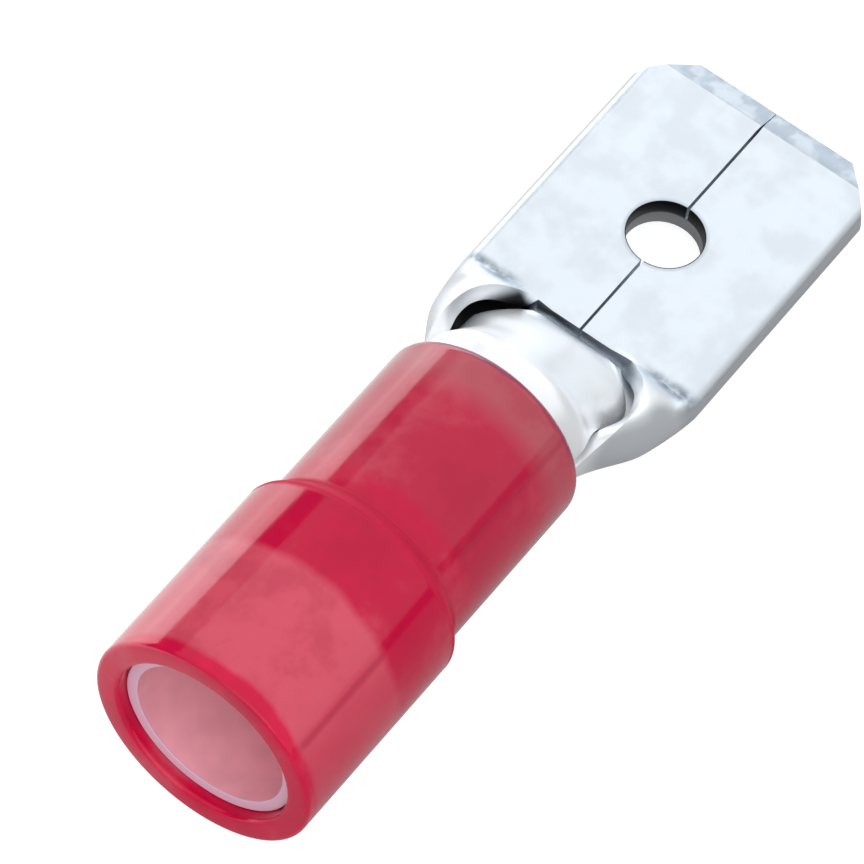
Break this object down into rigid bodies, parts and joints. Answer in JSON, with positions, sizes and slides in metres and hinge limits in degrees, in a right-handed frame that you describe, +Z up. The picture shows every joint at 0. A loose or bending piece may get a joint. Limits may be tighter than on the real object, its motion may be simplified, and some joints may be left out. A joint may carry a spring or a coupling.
{
  "type": "insulated male spade terminal",
  "caption": "Insulated male spade terminal: folded metal tab with a detent hole, crimp barrel, nylon sleeve with a wide wire mouth and a rolled metal grip sleeve inside.",
  "frame": {"origin": "centre of the bounding box in plan, on the surface that the terminal lies on", "axes": "+X from the wire mouth towards the tab's tip, +Z up, +Y to the left; it lies nose down by 6 degrees, on the nylon's front edge and on the tab near its tip"},
  "size_m": [0.022, 0.0064, 0.0063],
  "materials": {
    "tinned_brass": "satin",
    "red_nylon": "satin",
    "tinned_copper": "satin"
  },
  "bodies": {
    "root": {"terminal_body": "tinned_brass", "insulating_sleeve": "red_nylon", "grip_sleeve": "tinned_copper"}
  },
  "joints": []
}
